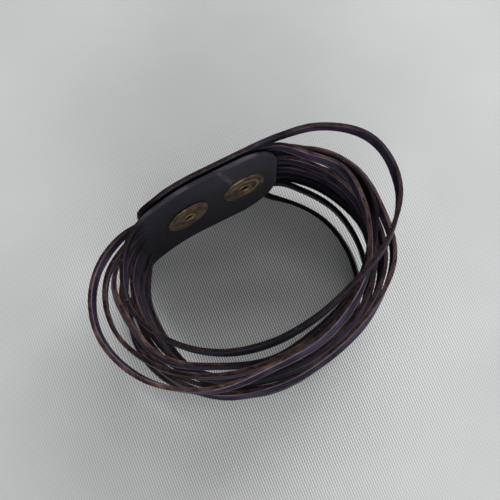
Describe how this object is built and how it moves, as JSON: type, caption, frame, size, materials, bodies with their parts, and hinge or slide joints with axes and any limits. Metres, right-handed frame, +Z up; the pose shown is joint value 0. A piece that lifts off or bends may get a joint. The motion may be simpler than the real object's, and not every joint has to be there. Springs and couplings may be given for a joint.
{
  "type": "leather cuff bracelet",
  "caption": "Cuff bracelet of one leather strip, slit lengthwise into loose flat strands between two solid tabs that overlap and close with press studs, lying on its side.",
  "frame": {"origin": "middle of the outer box in plan, at the floor the cuff lies on", "axes": "+Z up, along the wrist and through the opening; +X to the right of the picture along the longest side; +Y to the back, where the tabs overlap"},
  "size_m": [0.0808, 0.0722, 0.0348],
  "materials": {
    "leather": "smooth dyed leather with a soft sheen and reddish-brown cut edges",
    "stud_metal": "antique brass, darkened and worn on the ridges"
  },
  "bodies": {
    "root": {"leather_band": "leather", "post_left": "stud_metal", "post_right": "stud_metal", "stud_left": "stud_metal", "stud_right": "stud_metal", "socket_left": "stud_metal", "socket_right": "stud_metal", "cap_left": "stud_metal", "cap_right": "stud_metal"}
  },
  "joints": []
}
